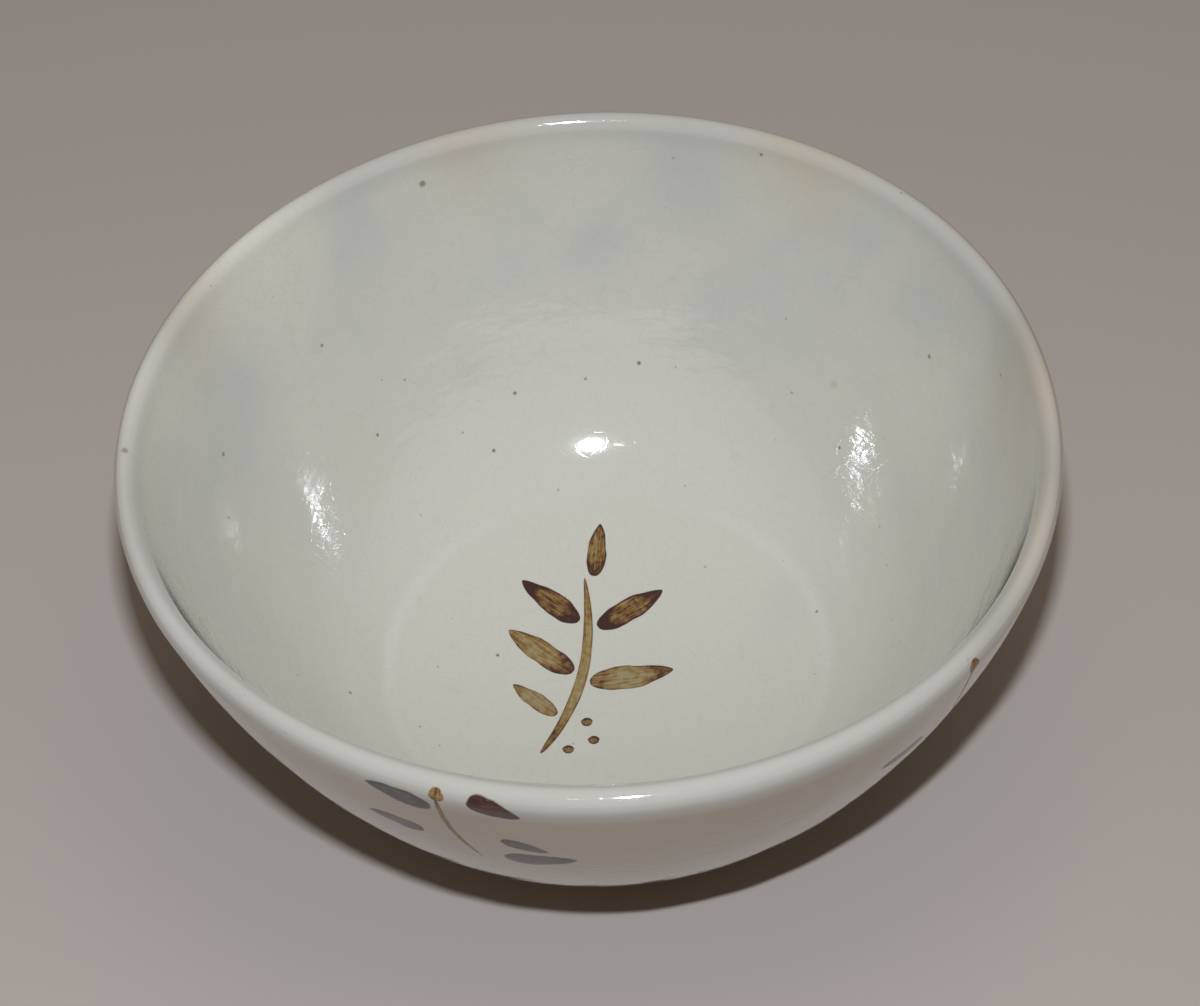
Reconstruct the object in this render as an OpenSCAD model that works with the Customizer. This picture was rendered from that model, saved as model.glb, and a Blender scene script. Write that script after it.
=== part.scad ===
// A footed sweets bowl of thrown stoneware, dipped in clear ivory glaze and painted with leaf sprigs.
// Millimetres, +Z up, with the origin on the table under the middle of the foot.
// Each glaze coat follows the clay as an even skin, and each brush stroke fills a pocket in its coat.

/* [Bowl] */
// Width across the lip
mouth_d = 160; // [140:1:200]
// Height from the table to the lip
height = 80; // [70:1:95]
// Thickness of the round lip, glaze included
lip_t = 3.6; // [2.4:0.1:5]
// Thickness of the wall at its base, glaze included
wall_base_t = 4.7; // [3.6:0.1:7]
// Radius of the curve of the outer wall
wall_curve_r = 145; // [110:1:220]
// Width of the body where it is pared off above the foot
base_d = 73.6; // [66:0.2:90]
// Thickness of the floor over the foot, glaze included
floor_t = 6.2; // [5:0.1:9]
// Radius of the dish of the floor
floor_curve_r = 120; // [100:5:200]
// Radius of the round lower wall, inside
well_curve_r = 60; // [45:1:70]
// Angle of the crease that rings the floor
crease = 13; // [8:1:18]

/* [Foot] */
// Width across the foot where it stands
foot_d = 66; // [58:0.5:70]
// Height of the foot below the body
foot_h = 6.5; // [4:0.5:10]
// Width of the ring that stands on the table
foot_w = 5; // [4:0.1:8]
// How far each side of the foot widens upwards
foot_flare = 0.6; // [0.2:0.1:1.2]
// Bevel on both lower edges of the foot
foot_bevel = 0.8; // [0.3:0.1:1.4]
// Depth of the scored groove that the foot is luted into
seat_depth = 1; // [0.5:0.1:2]
// Width of the tongue in that groove
tongue_w = 3.2; // [2:0.1:4]
// Gap for slip on each side of the tongue
slip_gap = 0.1; // [0.05:0.05:0.3]
// Rise of the pared hollow inside the foot
recess_rise = 1; // [0.5:0.1:2]

/* [Glaze] */
// Thickness of the glaze coats
glaze_t = 0.5; // [0.3:0.05:0.9]
// Bare clay left between the base and the edge of the outer coat
bare_h = 2.5; // [1:0.5:6]

/* [Sprig in the well] */
// Place of the stem's start, across the bowl
well_sprig_x = -13; // [-16:0.5:-8]
// Place of the stem's start, along the bowl
well_sprig_y = -16; // [-20:0.5:-12]
// Length of the stem
well_stem_l = 41; // [30:1:46]
// How far the stem bows
well_stem_bow = 3.5; // [2:0.5:6]
// Width of the stem at its middle
well_stem_w = 2.2; // [0.8:0.1:3]
// Length of a leaf
well_leaf_l = 14; // [10:0.5:16]
// Width of a leaf
well_leaf_w = 5; // [2.5:0.1:6]
// Width of a berry
berry_d = 2.2; // [1.5:0.1:3.5]

/* [Sprigs on the wall] */
// Length of a stem
wall_stem_l = 26; // [18:1:32]
// How far the stem bows
wall_stem_bow = 1.4; // [0.8:0.1:3]
// Width of a stem at its middle
wall_stem_w = 1.2; // [0.6:0.1:1.5]
// Width of the dab that starts a stem
wall_dab_d = 2.8; // [1.8:0.1:3.2]
// Length of a leaf
wall_leaf_l = 11; // [7:0.5:13]
// Width of a leaf
wall_leaf_w = 5.4; // [3:0.1:6]
// Length of the brown leaf
brown_leaf_l = 9; // [5:0.2:10]
// Width of the brown leaf
brown_leaf_w = 4.8; // [3:0.1:5.4]
// Drop of the stem's tip below the lip
wall_stem_drop = 0.8; // [0.6:0.1:3]

/* [Fits] */
// Gap between a leaf and its stem
stroke_gap = 0.6; // [0.3:0.1:1.2]

/* [Hidden] */
$fn = 240;

// Sprig in the well: the stem's turn from straight away
well_sprig_turn = -14;
// Each leaf: place along the stem from 0 to 1, side of the stem, lift towards the tip, size factor,
// and how much further than the gap it stands from the stem, in leaf widths
well_leaf_places = [[0.24, -1, 20, 0.75, 0], [0.46, 1, 20, 1.1, 0], [0.5, -1, 26, 1.05, 0],
                    [0.75, 1, 32, 1, 0], [0.78, -1, 38, 0.95, 0], [1, 1, 74, 0.75, 0]];
// Each berry: place along the stem, and distance from it in berry widths
berry_places = [[0.08, 1.7], [0.17, 3.1], [0.25, 1.8]];
// Sprigs on the wall: bearing of each stem, seen from above, and turn from hanging straight
wall_sprig_bearings = [249, 317];
wall_sprig_turn = 8;
// Leaves of each sprig, in the same terms as those of the well
grey_leaf_places = [[[0.22, 1, -14, 1.05, 0], [0.63, 1, -17, 0.9, 0.9],
                     [0.6, -1, 40, 0.75, 1.2], [0.95, -1, 14, 1.1, 0.6]],
                    [[0.63, 1, -17, 0.9, 1.1]]];
brown_leaf_places = [[[0.03, -1, 18, 1, 0.8]], []];

// The wall section: a round lip, an outer arc down to the base and an inner arc that thickens downwards
lip_r = lip_t / 2;
lip_c = [mouth_d / 2 - lip_r, height - lip_r];
base_p = [base_d / 2, foot_h];
outer_c = circles_meet(base_p, wall_curve_r, lip_c, wall_curve_r - lip_r, 1);
lip_ray = angle_of(lip_c - outer_c);
wall_turn = lip_ray - angle_of(base_p - outer_c);
inner_r = wall_curve_r - lip_t - (wall_base_t - lip_t) / (1 - cos(wall_turn));
inner_c = lip_c - (inner_r + lip_r) * dir(lip_ray);
// The rays that end the outer coat and the clay
edge_ray = asin((foot_h + bare_h - outer_c[1]) / wall_curve_r);
base_ray = asin((foot_h - outer_c[1]) / (wall_curve_r - glaze_t));

// The floor: a shallow dish, which the round lower wall meets in a crease
floor_z = foot_h + floor_t;
floor_c = [0, floor_z + floor_curve_r];
crease_gap = sqrt(well_curve_r ^ 2 + floor_curve_r ^ 2 - 2 * well_curve_r * floor_curve_r * cos(crease));
well_c = circles_meet(inner_c, inner_r - well_curve_r, floor_c, crease_gap, -1);
wall_ray = angle_of(well_c - inner_c);
floor_ray = angle_of(well_c - floor_c) + asin(well_curve_r * sin(crease) / crease_gap);

// The foot, from its middle radius
foot_mid_r = foot_d / 2 - foot_w / 2;
recess_a = foot_mid_r - foot_w / 2 - foot_flare;
recess_r = arc_r(2 * recess_a, recess_rise);
recess_ray = 90 - asin(recess_a / recess_r);

// Steps along each arc of the section
lip_steps = 10;
wall_steps = 24;
well_steps = 8;
hollow_steps = 6;
floor_steps = 10;

function angle_of(v) = atan2(v[1], v[0]);
function dir(a) = [cos(a), sin(a)];
// Radius of an arc from its chord and rise
function arc_r(chord, rise) = (chord * chord / 4 + rise * rise) / (2 * rise);
// The point where two circles meet, on the left (1) or right (-1) of the line from a to b
function circles_meet(a, ra, b, rb, side) =
    let (gap = norm(b - a), along = (ra * ra - rb * rb + gap * gap) / (2 * gap), e = (b - a) / gap)
    a + along * e + side * sqrt(ra * ra - along * along) * [-e[1], e[0]];

// Points along an arc, without its first one
function arc_on(c, r, from, to, steps) = [for (i = [1 : steps]) c + r * dir(from + (to - from) * i / steps)];
function reversed(line) = [for (i = [len(line) - 1 : -1 : 0]) line[i]];

// The crest of the lip, then the lines down from it, each set back from the finished surface by a depth
function crest(depth) = [lip_c + [0, lip_r - depth]];
function inner_line(depth) = concat(
    arc_on(lip_c, lip_r - depth, 90, 180 + lip_ray, lip_steps),
    arc_on(inner_c, inner_r + depth, lip_ray, wall_ray, wall_steps),
    arc_on(well_c, well_curve_r + depth, wall_ray, floor_ray + crease, well_steps),
    arc_on(floor_c, floor_curve_r + depth, floor_ray, -90, floor_steps));
function outer_line(depth) = concat(
    arc_on(lip_c, lip_r - depth, 90, lip_ray, lip_steps),
    arc_on(outer_c, wall_curve_r - depth, lip_ray, edge_ray, wall_steps));

// The two coats before painting, which meet on the crest of the lip
module inner_coat() {
    rotate_extrude() polygon(concat(crest(0), inner_line(0), reversed(inner_line(glaze_t)), crest(glaze_t)));
}
module outer_coat() {
    rotate_extrude() polygon(concat(crest(0), outer_line(0), reversed(outer_line(glaze_t)), crest(glaze_t)));
}

module disc(c, r) { translate(c) circle(r = r); }
// A disc through both ends of a stem, that stands out from its chord by a rise
module bowed_disc(length, rise) { disc([rise - arc_r(length, rise), length / 2], arc_r(length, rise)); }
// A brush stroke that tapers to both ends, along +Y from the origin, bowed towards +X
module stem_stroke(length, bow, width) {
    difference() {
        bowed_disc(length, bow + width / 2);
        bowed_disc(length, bow - width / 2);
    }
}
// A leaf pressed out with one touch of the brush, along +X from the origin
module leaf_stroke(length, width) {
    round_r = arc_r(length, width / 2);
    intersection() {
        disc([length / 2, round_r - width / 2], round_r);
        disc([length / 2, width / 2 - round_r], round_r);
    }
}
// Angle of the stem's arc, and the point on it, at a place from 0 to 1
function stem_angle(length, bow, place) = (2 * place - 1) * asin(length / 2 / arc_r(length, bow));
function stem_point(length, bow, place) =
    [bow - arc_r(length, bow), length / 2] + arc_r(length, bow) * dir(stem_angle(length, bow, place));
// A point beside the stem, at a distance to its side
function beside_stem(stem, place, side, away) =
    stem_point(stem[0], stem[1], place) + side * away * dir(stem_angle(stem[0], stem[1], place));
// Leaves at their places along a stem, which is given as length, bow and width
module leaves_on(stem, places, length, width) {
    for (p = places) {
        turn = stem_angle(stem[0], stem[1], p[0]) + (p[1] > 0 ? p[2] : 180 - p[2]);
        translate(beside_stem(stem, p[0], p[1], stem[2] / 2 + stroke_gap + p[4] * width))
            rotate(turn) leaf_stroke(length * p[3], width * p[3]);
    }
}

// Where the strokes are cut into the coats
well_stem_sizes = [well_stem_l, well_stem_bow, well_stem_w];
wall_stem_sizes = [wall_stem_l, wall_stem_bow, wall_stem_w];
module in_well() {
    linear_extrude(height) translate([well_sprig_x, well_sprig_y]) rotate(well_sprig_turn) children();
}
module on_wall(bearing) {
    rotate([0, 0, bearing]) translate([base_d / 2, 0, height - wall_stem_drop]) rotate([90, 0, 90])
        linear_extrude(mouth_d / 2) rotate(180 + wall_sprig_turn) children();
}
module well_stem_cut() {
    in_well() stem_stroke(well_stem_l, well_stem_bow, well_stem_w);
}
module well_leaf_cuts() {
    in_well() leaves_on(well_stem_sizes, well_leaf_places, well_leaf_l, well_leaf_w);
}
module berry_cuts() {
    in_well() for (p = berry_places)
        disc(beside_stem(well_stem_sizes, p[0], 1, p[1] * berry_d), berry_d / 2);
}
module wall_stem_cuts() {
    for (b = wall_sprig_bearings) on_wall(b) {
        stem_stroke(wall_stem_l, wall_stem_bow, wall_stem_w);
        disc([0, wall_dab_d / 2], wall_dab_d / 2);
    }
}
module wall_leaf_cuts(places, length, width) {
    for (i = [0 : len(wall_sprig_bearings) - 1])
        if (len(places[i]) > 0)
            on_wall(wall_sprig_bearings[i]) leaves_on(wall_stem_sizes, places[i], length, width);
}
module grey_leaf_cuts() { wall_leaf_cuts(grey_leaf_places, wall_leaf_l, wall_leaf_w); }
module brown_leaf_cut() { wall_leaf_cuts(brown_leaf_places, brown_leaf_l, brown_leaf_w); }

// The thrown clay: wall, floor and lip, with the pared hollow inside the foot and the groove for its tongue
module clay_bowl() {
    groove_in = foot_mid_r - tongue_w / 2 - slip_gap;
    groove_out = foot_mid_r + tongue_w / 2 + slip_gap;
    color("#b8a48a") rotate_extrude() polygon(concat(
        crest(glaze_t), inner_line(glaze_t), [[0, foot_h + recess_rise]],
        arc_on([0, foot_h + recess_rise - recess_r], recess_r, 90, recess_ray, hollow_steps),
        [[groove_in, foot_h], [groove_in, foot_h + seat_depth], [groove_out, foot_h + seat_depth],
         [groove_out, foot_h]],
        reversed(arc_on(outer_c, wall_curve_r - glaze_t, edge_ray, base_ray, hollow_steps)),
        reversed(outer_line(glaze_t))));
}

// The foot ring, flared upwards, with its tongue in the groove of the body
module foot_ring() {
    out_r = foot_mid_r + foot_w / 2;
    in_r = foot_mid_r - foot_w / 2;
    color("#ad967a") rotate_extrude() polygon([
        [in_r + foot_bevel, 0], [out_r - foot_bevel, 0], [out_r, foot_bevel], [out_r + foot_flare, foot_h],
        [foot_mid_r + tongue_w / 2, foot_h], [foot_mid_r + tongue_w / 2, foot_h + seat_depth],
        [foot_mid_r - tongue_w / 2, foot_h + seat_depth], [foot_mid_r - tongue_w / 2, foot_h],
        [in_r - foot_flare, foot_h], [in_r, foot_bevel]]);
}

// The poured inner coat, from the crest of the lip to the middle of the well
module inner_glaze() {
    color("#dcdacb") difference() {
        inner_coat();
        well_stem_cut();
        well_leaf_cuts();
        berry_cuts();
    }
}

// The dipped outer coat, from the crest of the lip to the bare clay above the foot
module outer_glaze() {
    color("#d8d3c4") difference() {
        outer_coat();
        wall_stem_cuts();
        grey_leaf_cuts();
        brown_leaf_cut();
    }
}

// Brush strokes, each as thick as the coat that it is fired into
module well_stem() {
    color("#8a6f45") intersection() { inner_coat(); well_stem_cut(); }
}
module well_leaves() {
    color("#3a2114") intersection() { inner_coat(); well_leaf_cuts(); }
}
module well_berries() {
    color("#4a2c18") intersection() { inner_coat(); berry_cuts(); }
}
module wall_stems() {
    color("#9c8258") intersection() { outer_coat(); wall_stem_cuts(); }
}
module grey_leaves() {
    color("#5a5762") intersection() { outer_coat(); grey_leaf_cuts(); }
}
module brown_leaf() {
    color("#4d2a22") intersection() { outer_coat(); brown_leaf_cut(); }
}

clay_bowl();
foot_ring();
inner_glaze();
outer_glaze();
well_stem();
well_leaves();
well_berries();
wall_stems();
grey_leaves();
brown_leaf();
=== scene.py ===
"""Looks of a footed sweets bowl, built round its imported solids.

The pot is thrown stoneware under a poured ivory glaze, with leaf sprigs brushed in the well and on the
wall. Sizes are in millimetres, and become metres where a mesh or a lamp is made.
"""

import logging
import math
from dataclasses import dataclass, field, replace
from enum import Enum
from typing import Any

import bpy
import numpy as np
from mathutils import Matrix, Vector
from mathutils.bvhtree import BVHTree


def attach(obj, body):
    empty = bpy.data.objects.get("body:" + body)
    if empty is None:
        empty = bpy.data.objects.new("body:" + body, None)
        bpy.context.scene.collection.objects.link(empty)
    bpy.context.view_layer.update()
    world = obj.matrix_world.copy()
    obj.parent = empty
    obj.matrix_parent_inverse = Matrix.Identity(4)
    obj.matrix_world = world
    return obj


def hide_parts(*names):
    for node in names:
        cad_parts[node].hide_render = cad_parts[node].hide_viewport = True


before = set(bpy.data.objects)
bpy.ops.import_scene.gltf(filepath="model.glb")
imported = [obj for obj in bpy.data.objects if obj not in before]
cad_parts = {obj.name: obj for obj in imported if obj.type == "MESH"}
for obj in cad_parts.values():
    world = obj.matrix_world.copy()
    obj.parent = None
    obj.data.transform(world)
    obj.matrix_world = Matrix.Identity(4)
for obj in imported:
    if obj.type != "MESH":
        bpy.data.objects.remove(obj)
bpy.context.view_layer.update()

LOG = logging.getLogger("sweets_bowl")
MM = 0.001
BODY = "root"
PHOTO_FRAME = (1200, 1006)


# Small helpers for shapes, colours and shader nodes

def linear(hex_colour: str) -> tuple[float, float, float, float]:
    """Turns an sRGB hex colour into linear values.

    Args:
        hex_colour: six hex digits.

    Returns:
        Linear red, green and blue, and a full alpha.
    """
    channels = [int(hex_colour[i:i + 2], 16) / 255.0 for i in (0, 2, 4)]
    bright = [c / 12.92 if c <= 0.04045 else ((c + 0.055) / 1.055) ** 2.4 for c in channels]
    return bright[0], bright[1], bright[2], 1.0


def per_mm(size: float) -> float:
    """Gives the texture scale at which one cell is this many millimetres."""
    return 1.0 / (size * MM)


def add_node(tree: bpy.types.NodeTree, kind: str, inputs: dict[Any, Any] | None = None,
             **settings: Any) -> bpy.types.Node:
    """Adds a shader node with its settings, values and links.

    Args:
        tree: the node tree that gets the node.
        kind: Blender's name for the node.
        inputs: a value, or an output socket to link, for each input by name or number.
        **settings: properties of the node itself.

    Returns:
        The new node.
    """
    node = tree.nodes.new(kind)
    for name, value in settings.items():
        setattr(node, name, value)
    for key, value in (inputs or {}).items():
        if isinstance(value, bpy.types.NodeSocket):
            tree.links.new(value, node.inputs[key])
        else:
            node.inputs[key].default_value = value
    return node


def new_material(name: str) -> tuple[bpy.types.Material, bpy.types.NodeTree]:
    """Starts an empty node material.

    Args:
        name: the material's name.

    Returns:
        The material and its node tree.
    """
    material = bpy.data.materials.new(name)
    material.use_nodes = True
    material.node_tree.nodes.clear()
    return material, material.node_tree


def ray_angle(v: np.ndarray) -> float:
    """Gives the angle of a flat vector in degrees."""
    return math.degrees(math.atan2(v[1], v[0]))


def ray(angle: float) -> np.ndarray:
    """Gives the flat unit vector at an angle in degrees."""
    return np.array([math.cos(math.radians(angle)), math.sin(math.radians(angle))])


def degrees_from(bearing: float, turn: np.ndarray) -> np.ndarray:
    """Gives how far turns in radians are from a bearing, in degrees from -180 to 180."""
    return (np.degrees(turn) - bearing + 180) % 360 - 180


def circles_meet(a: np.ndarray, ra: float, b: np.ndarray, rb: float, side: int) -> np.ndarray:
    """Finds the point where two circles meet.

    Args:
        a: centre of the first circle.
        ra: its radius.
        b: centre of the second circle.
        rb: its radius.
        side: 1 for the point on the left of the line from a to b, -1 for the other.

    Returns:
        The meeting point.
    """
    gap = float(np.linalg.norm(b - a))
    along = (ra * ra - rb * rb + gap * gap) / (2 * gap)
    ahead = (b - a) / gap
    left = np.array([-ahead[1], ahead[0]])
    return a + along * ahead + side * math.sqrt(ra * ra - along * along) * left


def ripple(points: np.ndarray, size: float, seed: int, waves: int = 20) -> np.ndarray:
    """Smooth seeded unevenness over points in space, mostly between -1 and 1.

    Args:
        points: array of points in millimetres, with x, y and z last.
        size: usual length of one wave in millimetres.
        seed: picks the pattern.
        waves: how many waves are added up.

    Returns:
        One value for each point.
    """
    rng = np.random.default_rng(seed)
    ways = rng.normal(size=(waves, 3))
    ways /= np.linalg.norm(ways, axis=1, keepdims=True) * size * rng.uniform(0.7, 1.5, (waves, 1))
    phases = rng.uniform(0, 2 * math.pi, waves)
    total = np.zeros(points.shape[:-1])
    for way, phase in zip(ways, phases):
        total += np.sin(points @ way * 2 * math.pi + phase)
    return total / math.sqrt(waves * 2.0)


def smooth_step(low: float, high: float, values: np.ndarray) -> np.ndarray:
    """Rises softly from 0 at low to 1 at high."""
    t = np.clip((values - low) / (high - low), 0, 1)
    return t * t * (3 - 2 * t)


def evenly(line: np.ndarray, spacing: float, count: int = 0) -> np.ndarray:
    """Lays points along a line at one spacing.

    Args:
        line: points in order, with r and z.
        spacing: distance between the new points.
        count: how many new points, if it isn't to follow from the spacing.

    Returns:
        The new points, with both ends kept.
    """
    run = np.concatenate([[0.0], np.cumsum(np.linalg.norm(np.diff(line, axis=0), axis=1))])
    steps = np.linspace(0, run[-1], count or max(2, int(round(run[-1] / spacing)) + 1))
    return np.stack([np.interp(steps, run, line[:, 0]), np.interp(steps, run, line[:, 1])], axis=1)


def softened(line: np.ndarray, passes: int) -> np.ndarray:
    """Rounds off the corners of an evenly spaced line, with both ends kept."""
    for _ in range(passes):
        line[1:-1] = (line[:-2] + 2 * line[1:-1] + line[2:]) / 4
    return line


def spun(line: np.ndarray, around: int) -> np.ndarray:
    """Turns a half section about the axis.

    Args:
        line: points with r and z, in millimetres.
        around: points in each ring.

    Returns:
        Rings of points, with x, y and z.
    """
    turn = np.arange(around) * 2 * math.pi / around
    flat = np.stack([np.cos(turn), np.sin(turn)], axis=1)
    level = np.broadcast_to(line[:, 1, None, None], (len(line), around, 1))
    return np.concatenate([line[:, 0, None, None] * flat, level], axis=2)


def ring_mesh(name: str, rings: np.ndarray, closed: bool, sharp_angle: float = 50.0,
              point_size: float = 0.001) -> bpy.types.Object:
    """Makes a smooth mesh from rings of points, and a single point from a ring that has shrunk to one.

    Args:
        name: the object's name.
        rings: rings of points in millimetres.
        closed: whether the last ring joins the first.
        sharp_angle: edges sharper than this many degrees stay crisp.
        point_size: a ring narrower than this many millimetres counts as a point.

    Returns:
        The new object, riding on the body.
    """
    count, around = rings.shape[:2]
    index = np.zeros((count, around), int)
    points: list[np.ndarray] = []
    total = 0
    for i, ring in enumerate(rings):
        is_point = np.ptp(ring, axis=0).max() < point_size
        kept = ring[:1] if is_point else ring
        index[i] = total if is_point else np.arange(total, total + around)
        points.append(kept)
        total += len(kept)
    faces = []
    for i in range(count if closed else count - 1):
        low, high = index[i], index[(i + 1) % count]
        for quad in zip(low, np.roll(low, -1), np.roll(high, -1), high):
            corners = list(dict.fromkeys(int(k) for k in quad))
            if len(corners) > 2:
                faces.append(corners)
    return mesh_object(name, np.concatenate(points), faces, sharp_angle)


def mesh_object(name: str, points: np.ndarray, faces: list, sharp_angle: float = 180.0) -> bpy.types.Object:
    """Makes a smooth mesh object that rides on the body.

    Args:
        name: the object's name.
        points: its points in millimetres.
        faces: point numbers of each face.
        sharp_angle: edges sharper than this many degrees stay crisp.

    Returns:
        The new object.
    """
    mesh = bpy.data.meshes.new(name)
    mesh.from_pydata((points * MM).tolist(), [], faces)
    mesh.validate()
    mesh.shade_smooth()
    mesh.set_sharp_from_angle(angle=math.radians(sharp_angle))
    piece = bpy.data.objects.new(name, mesh)
    bpy.context.scene.collection.objects.link(piece)
    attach(piece, BODY)
    return piece


# The half section, with the same arcs as the solids

@dataclass(frozen=True)
class Arc:
    """One arc of the half section, in millimetres and degrees.

    A depth is counted into the clay, which lies outside a hollow arc and inside a round one.
    """

    centre: np.ndarray
    radius: float
    start: float
    end: float
    hollow: bool

    def points(self, depth: float = 0.0, steps: int = 200) -> np.ndarray:
        """Gives points along the arc.

        Args:
            depth: how far below the finished surface.
            steps: steps along the arc.

        Returns:
            Points with r and z.
        """
        radius = self.radius + depth if self.hollow else self.radius - depth
        angles = np.radians(np.linspace(self.start, self.end, steps + 1))
        return self.centre + radius * np.stack([np.cos(angles), np.sin(angles)], axis=1)


@dataclass
class WallSection:
    """Sizes of the thrown pot, and the arcs that they give."""

    mouth_d: float = 160.0
    height: float = 80.0
    lip_t: float = 3.6
    wall_base_t: float = 4.7
    wall_curve_r: float = 145.0
    base_d: float = 73.6
    foot_h: float = 6.5
    floor_t: float = 6.2
    floor_curve_r: float = 120.0
    well_curve_r: float = 60.0
    crease: float = 13.0
    crease_fill: float = 4.0
    glaze_t: float = 0.5
    bare_h: float = 2.5
    inside: tuple[Arc, ...] = field(init=False)
    outside: tuple[Arc, ...] = field(init=False)
    bare_band: Arc = field(init=False)

    def __post_init__(self) -> None:
        """Works out the arcs from the sizes."""
        lip_r = self.lip_t / 2
        lip_c = np.array([self.mouth_d / 2 - lip_r, self.height - lip_r])
        base_p = np.array([self.base_d / 2, self.foot_h])
        outer_c = circles_meet(base_p, self.wall_curve_r, lip_c, self.wall_curve_r - lip_r, 1)
        lip_ray = ray_angle(lip_c - outer_c)
        wall_turn = lip_ray - ray_angle(base_p - outer_c)
        thicker = (self.wall_base_t - self.lip_t) / (1 - math.cos(math.radians(wall_turn)))
        inner_r = self.wall_curve_r - self.lip_t - thicker
        inner_c = lip_c - (inner_r + lip_r) * ray(lip_ray)
        floor_c = np.array([0.0, self.foot_h + self.floor_t + self.floor_curve_r])
        bend = math.radians(self.crease)
        gap = math.sqrt(self.well_curve_r ** 2 + self.floor_curve_r ** 2
                        - 2 * self.well_curve_r * self.floor_curve_r * math.cos(bend))
        well_c = circles_meet(inner_c, inner_r - self.well_curve_r, floor_c, gap, -1)
        wall_ray = ray_angle(well_c - inner_c)
        turn = math.degrees(math.asin(self.well_curve_r * math.sin(bend) / gap))
        floor_ray = ray_angle(well_c - floor_c) + turn
        edge_ray = math.degrees(math.asin((self.foot_h + self.bare_h - outer_c[1]) / self.wall_curve_r))
        clay_r = self.wall_curve_r - self.glaze_t
        base_ray = math.degrees(math.asin((self.foot_h - outer_c[1]) / clay_r))
        self.inside = (
            Arc(lip_c, lip_r, 90, 180 + lip_ray, False),
            Arc(inner_c, inner_r, lip_ray, wall_ray, True),
            Arc(well_c, self.well_curve_r, wall_ray, floor_ray + self.crease, True),
            Arc(floor_c, self.floor_curve_r, floor_ray, -90, True))
        self.outside = (
            Arc(lip_c, lip_r, 90, lip_ray, False),
            Arc(outer_c, self.wall_curve_r, lip_ray, edge_ray, False))
        self.bare_band = Arc(outer_c, clay_r, edge_ray, base_ray, False)

    def down_inside(self, depth: float, spacing: float, count: int = 0) -> np.ndarray:
        """Runs from the crest of the lip to the middle of the floor, with the crease filled softly."""
        line = evenly(np.concatenate([arc.points(depth) for arc in self.inside]), spacing, count)
        line = softened(line, int(self.crease_fill / spacing))
        line[-1, 0] = 0.0
        return line

    def down_outside(self, depth: float, spacing: float, count: int = 0) -> np.ndarray:
        """Runs from the crest of the lip to the edge of the outer coat."""
        return evenly(np.concatenate([arc.points(depth) for arc in self.outside]), spacing, count)


class Side(Enum):
    """Which side of the pot a surface or a brush stroke is on."""

    INSIDE = "inside"
    OUTSIDE = "outside"


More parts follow.
